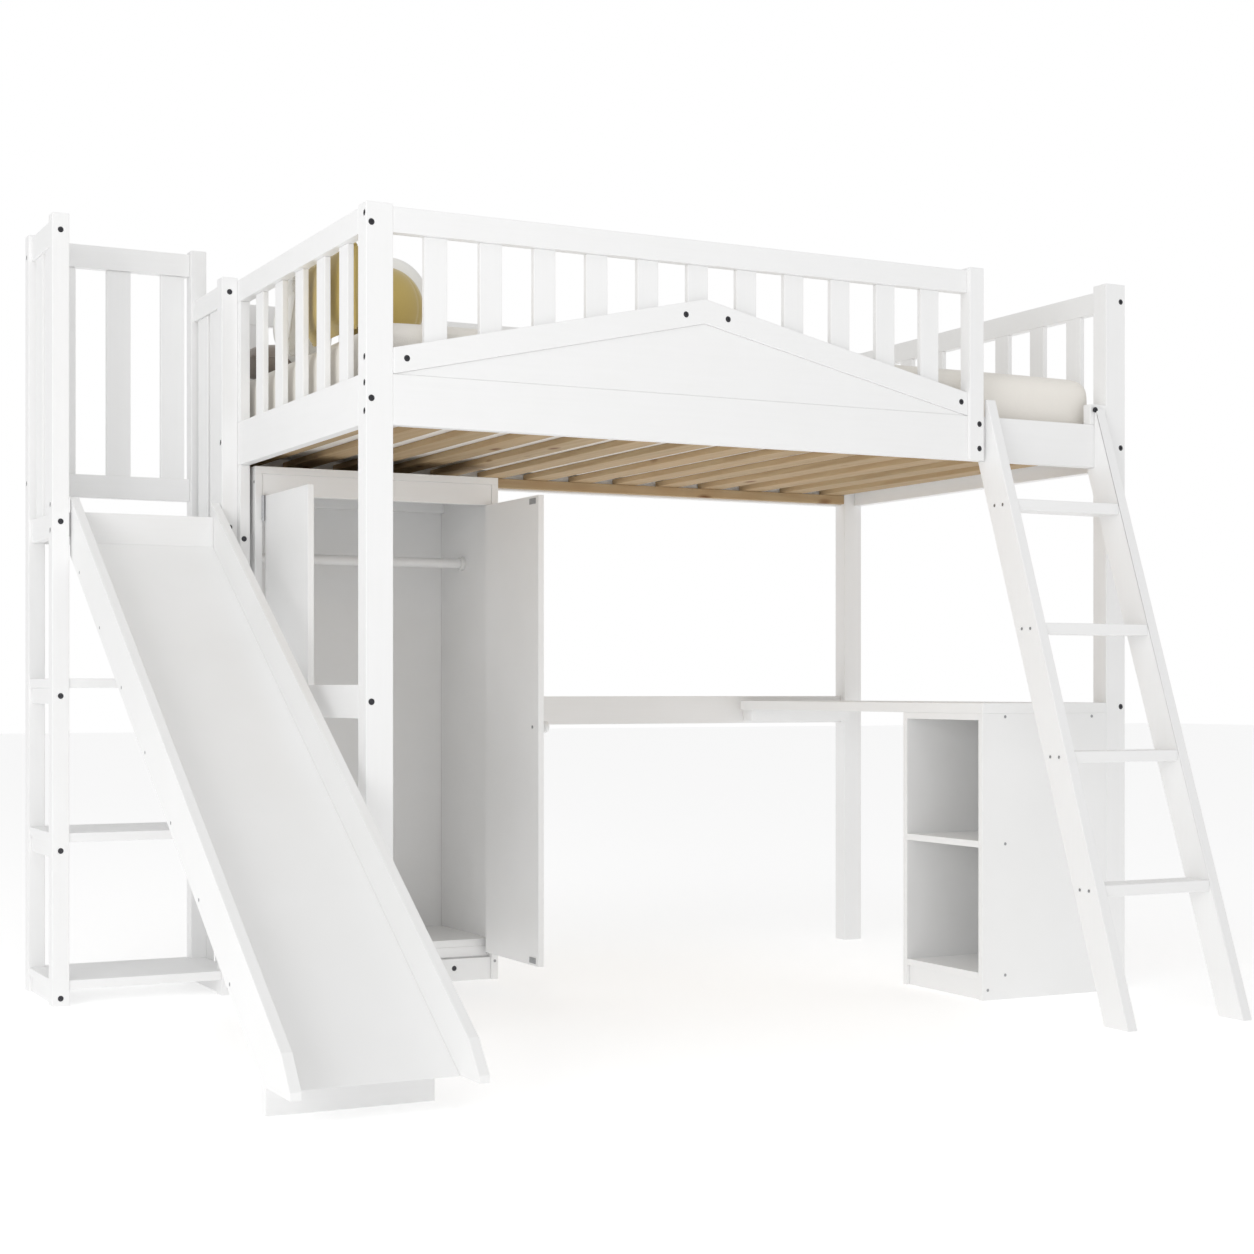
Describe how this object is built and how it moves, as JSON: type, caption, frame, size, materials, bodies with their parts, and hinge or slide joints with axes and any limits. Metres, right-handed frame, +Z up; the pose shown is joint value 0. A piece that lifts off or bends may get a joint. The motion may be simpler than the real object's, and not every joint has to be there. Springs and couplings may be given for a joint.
{
  "type": "loft bed with desk",
  "caption": "High children's bed on posts with a gabled guard, a ladder, a slide tower with shelves, a two-door wardrobe and a desk with an open cabinet under it.",
  "frame": {"origin": "middle of the footprint, on the floor", "axes": "+X along the bed from the slide tower to the desk, +Y from the front of the bed to its back, +Z up"},
  "size_m": [2.46, 1.84, 1.855],
  "materials": {
    "white_painted_pine": "satin white paint over solid pine",
    "white_painted_board": "satin white paint over board",
    "natural_pine": "sanded bare pine",
    "black_steel": "blackened socket-head bolts",
    "zinc_steel": "zinc plate",
    "white_plastic": "moulded",
    "white_lacquered_turning": "gloss white lacquer",
    "mattress_knit": "cream knitted cover",
    "pillow_cotton": "white cotton",
    "cushion_velvet": "ochre velvet"
  },
  "bodies": {
    "frame": {"post_front_left": "white_painted_pine", "post_front_right": "white_painted_pine", "post_back_right": "white_painted_pine", "guard_post": "white_painted_pine", "left_legs": "white_painted_pine", "rail_front": "white_painted_pine", "rail_back": "white_painted_pine", "rail_left": "white_painted_pine", "rail_right": "white_painted_pine", "guard_top_rails": "white_painted_pine", "guard_slats": "white_painted_pine", "guard_stiles": "white_painted_pine", "gable_boards": "white_painted_pine", "gable_panel": "white_painted_pine", "slat_ledgers": "natural_pine", "bed_slats": "natural_pine", "back_mid_rail": "white_painted_pine", "left_mid_rail": "white_painted_pine", "ladder_stringers": "white_painted_pine", "ladder_rungs": "white_painted_pine", "ladder_block": "white_painted_pine", "tower_posts": "white_painted_pine", "tower_guard_rails": "white_painted_pine", "tower_guard_slats": "white_painted_pine", "tower_platform_rails": "white_painted_pine", "tower_platform": "white_painted_board", "tower_shelf_rails": "white_painted_pine", "tower_shelves": "white_painted_pine", "slide_side_left": "white_painted_pine", "slide_side_right": "white_painted_pine", "slide_board": "white_painted_board", "slide_header": "white_painted_pine", "slide_battens": "white_painted_pine", "wardrobe_sides": "white_painted_board", "wardrobe_top": "white_painted_board", "wardrobe_back": "white_painted_board", "wardrobe_floor": "white_painted_board", "wardrobe_rails": "white_painted_board", "wardrobe_plinth": "white_painted_board", "hanging_rail": "white_lacquered_turning", "rail_sockets": "white_lacquered_turning", "wardrobe_hinge_leaves": "zinc_steel", "door_catches": "white_plastic", "desk_top": "white_painted_board", "desk_bearer": "white_painted_pine", "cabinet_end_panels": "white_painted_board", "cabinet_side_panel": "white_painted_board", "cabinet_boards": "white_painted_board", "cabinet_plinth": "white_painted_board", "frame_bolts": "black_steel", "panel_screws": "zinc_steel"},
    "left_door": {"door_left": "white_painted_board", "door_left_knob": "white_lacquered_turning", "door_left_hardware": "zinc_steel"},
    "right_door": {"door_right": "white_painted_board", "door_right_knob": "white_lacquered_turning", "door_right_hardware": "zinc_steel"},
    "bedding": {"mattress": "mattress_knit", "pillows": "pillow_cotton", "cushions": "cushion_velvet"}
  },
  "joints": [
    {"name": "left_door_hinge", "type": "hinge", "parent": "frame", "child": "left_door", "pos_m": [-0.7259, 0.5877, 0.641], "axis": [0, 0, 1], "range_deg": [0, 90]},
    {"name": "right_door_hinge", "type": "hinge", "parent": "frame", "child": "right_door", "pos_m": [-0.1141, 0.5877, 0.641], "axis": [0, 0, -1], "range_deg": [0, 90]},
    {"name": "bedding_lift", "type": "slide", "parent": "frame", "child": "bedding", "axis": [0, 0, 1], "range_m": [0, 0.25]}
  ]
}
